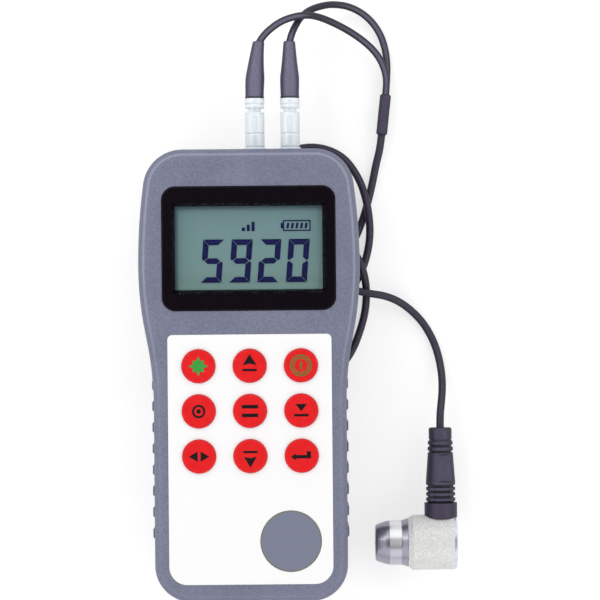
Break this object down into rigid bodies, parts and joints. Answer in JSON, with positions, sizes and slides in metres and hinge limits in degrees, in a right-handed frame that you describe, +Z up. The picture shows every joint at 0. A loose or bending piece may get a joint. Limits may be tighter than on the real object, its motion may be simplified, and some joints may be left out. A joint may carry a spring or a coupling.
{
  "type": "ultrasonic thickness gauge",
  "caption": "Handheld electronic thickness gauge with a display, round keys, a zero disc, a plugged twin lead and a right angle contact probe.",
  "frame": {"origin": "middle of the flat on the back of the handle that the gauge lies on", "axes": "+Z up out of the key face, +Y along the case towards the sockets, +X to the right of the keys"},
  "size_m": [0.1054, 0.2004, 0.0329],
  "materials": {
    "case_plastic": "fine matt moulded texture, grey blue",
    "door_plastic": "fine matt moulded texture, grey blue",
    "bezel_black": "satin black",
    "window_clear": "clear",
    "lcd_glass": "grey green, polished",
    "lcd_dark": "dark blue",
    "backlight_white": "white diffuser",
    "fascia_white": "satin printed film",
    "key_red": "satin red rubber",
    "disc_steel": "turned steel",
    "board_green": "solder resist",
    "chip_black": "moulded",
    "sounder_black": "moulded",
    "switch_black": "moulded",
    "screw_steel": "zinc plated",
    "contact_spring": "nickel plated",
    "socket_nickel": "nickel plated, satin",
    "pin_gold": "gold plated",
    "cell_sleeve": "plain sleeve",
    "boot_rubber": "matt grey violet",
    "lead_rubber": "matt dark grey violet",
    "sleeve_rubber": "matt dark",
    "probe_alloy": "bead blasted, pale",
    "probe_steel": "polished steel",
    "gland_black": "moulded nut",
    "barrier_cork": "dense cork",
    "delay_resin": "translucent resin",
    "crystal_ceramic": "fired ceramic",
    "damping_resin": "loaded resin"
  },
  "bodies": {
    "gauge": {"front_shell": "case_plastic", "rear_shell": "case_plastic", "case_screws": "screw_steel", "fascia": "fascia_white", "zero_disc": "disc_steel", "display_bezel": "bezel_black", "display_window": "window_clear", "lcd_panel": "lcd_glass", "lcd_segments": "lcd_dark", "backlight": "backlight_white", "main_board": "board_green", "board_chips": "chip_black", "sounder": "sounder_black", "board_screws": "screw_steel", "key_switches": "switch_black", "battery_contacts": "contact_spring", "socket_transmit": "socket_nickel", "socket_receive": "socket_nickel", "socket_nuts": "socket_nickel", "cell_left": "cell_sleeve", "cell_right": "cell_sleeve"},
    "battery_door_body": {"battery_door": "door_plastic"},
    "probe_lead": {"plug_pins": "pin_gold", "plug_body_left": "socket_nickel", "collet_ring_left": "socket_nickel", "plug_boot_left": "boot_rubber", "branch_lead_left": "lead_rubber", "plug_body_right": "socket_nickel", "collet_ring_right": "socket_nickel", "plug_boot_right": "boot_rubber", "branch_lead_right": "lead_rubber", "splice_sleeve": "sleeve_rubber", "lead_upper": "lead_rubber", "lead_coil": "lead_rubber", "lead_lower": "lead_rubber", "probe_boot": "boot_rubber", "probe_gland": "gland_black", "probe_body": "probe_alloy", "probe_cap": "probe_alloy", "probe_nose": "probe_steel", "probe_barrier": "barrier_cork", "delay_blocks": "delay_resin", "crystals": "crystal_ceramic", "damping_blocks": "damping_resin"},
    "release_shell_left_body": {"release_shell_left": "socket_nickel"},
    "release_shell_right_body": {"release_shell_right": "socket_nickel"},
    "key_11_body": {"key_11": "key_red"},
    "key_12_body": {"key_12": "key_red"},
    "key_13_body": {"key_13": "key_red"},
    "key_21_body": {"key_21": "key_red"},
    "key_22_body": {"key_22": "key_red"},
    "key_23_body": {"key_23": "key_red"},
    "key_31_body": {"key_31": "key_red"},
    "key_32_body": {"key_32": "key_red"},
    "key_33_body": {"key_33": "key_red"}
  },
  "joints": [
    {"name": "key_11_press", "type": "slide", "parent": "gauge", "child": "key_11_body", "axis": [0, 0, -1], "range_m": [0, 0.0005], "stiffness_N_per_m": 1500},
    {"name": "key_12_press", "type": "slide", "parent": "gauge", "child": "key_12_body", "axis": [0, 0, -1], "range_m": [0, 0.0005], "stiffness_N_per_m": 1500},
    {"name": "key_13_press", "type": "slide", "parent": "gauge", "child": "key_13_body", "axis": [0, 0, -1], "range_m": [0, 0.0005], "stiffness_N_per_m": 1500},
    {"name": "key_21_press", "type": "slide", "parent": "gauge", "child": "key_21_body", "axis": [0, 0, -1], "range_m": [0, 0.0005], "stiffness_N_per_m": 1500},
    {"name": "key_22_press", "type": "slide", "parent": "gauge", "child": "key_22_body", "axis": [0, 0, -1], "range_m": [0, 0.0005], "stiffness_N_per_m": 1500},
    {"name": "key_23_press", "type": "slide", "parent": "gauge", "child": "key_23_body", "axis": [0, 0, -1], "range_m": [0, 0.0005], "stiffness_N_per_m": 1500},
    {"name": "key_31_press", "type": "slide", "parent": "gauge", "child": "key_31_body", "axis": [0, 0, -1], "range_m": [0, 0.0005], "stiffness_N_per_m": 1500},
    {"name": "key_32_press", "type": "slide", "parent": "gauge", "child": "key_32_body", "axis": [0, 0, -1], "range_m": [0, 0.0005], "stiffness_N_per_m": 1500},
    {"name": "key_33_press", "type": "slide", "parent": "gauge", "child": "key_33_body", "axis": [0, 0, -1], "range_m": [0, 0.0005], "stiffness_N_per_m": 1500},
    {"name": "battery_door_slide", "type": "slide", "parent": "gauge", "child": "battery_door_body", "axis": [0, -1, 0], "range_m": [0, 0.06]},
    {"name": "plugs_pull_out", "type": "slide", "parent": "gauge", "child": "probe_lead", "axis": [0, 1, 0], "range_m": [0, 0.01]},
    {"name": "release_shell_left_slide", "type": "slide", "parent": "probe_lead", "child": "release_shell_left_body", "axis": [0, 1, 0], "range_m": [0, 0.0012], "stiffness_N_per_m": 800},
    {"name": "release_shell_right_slide", "type": "slide", "parent": "probe_lead", "child": "release_shell_right_body", "axis": [0, 1, 0], "range_m": [0, 0.0012], "stiffness_N_per_m": 800}
  ]
}
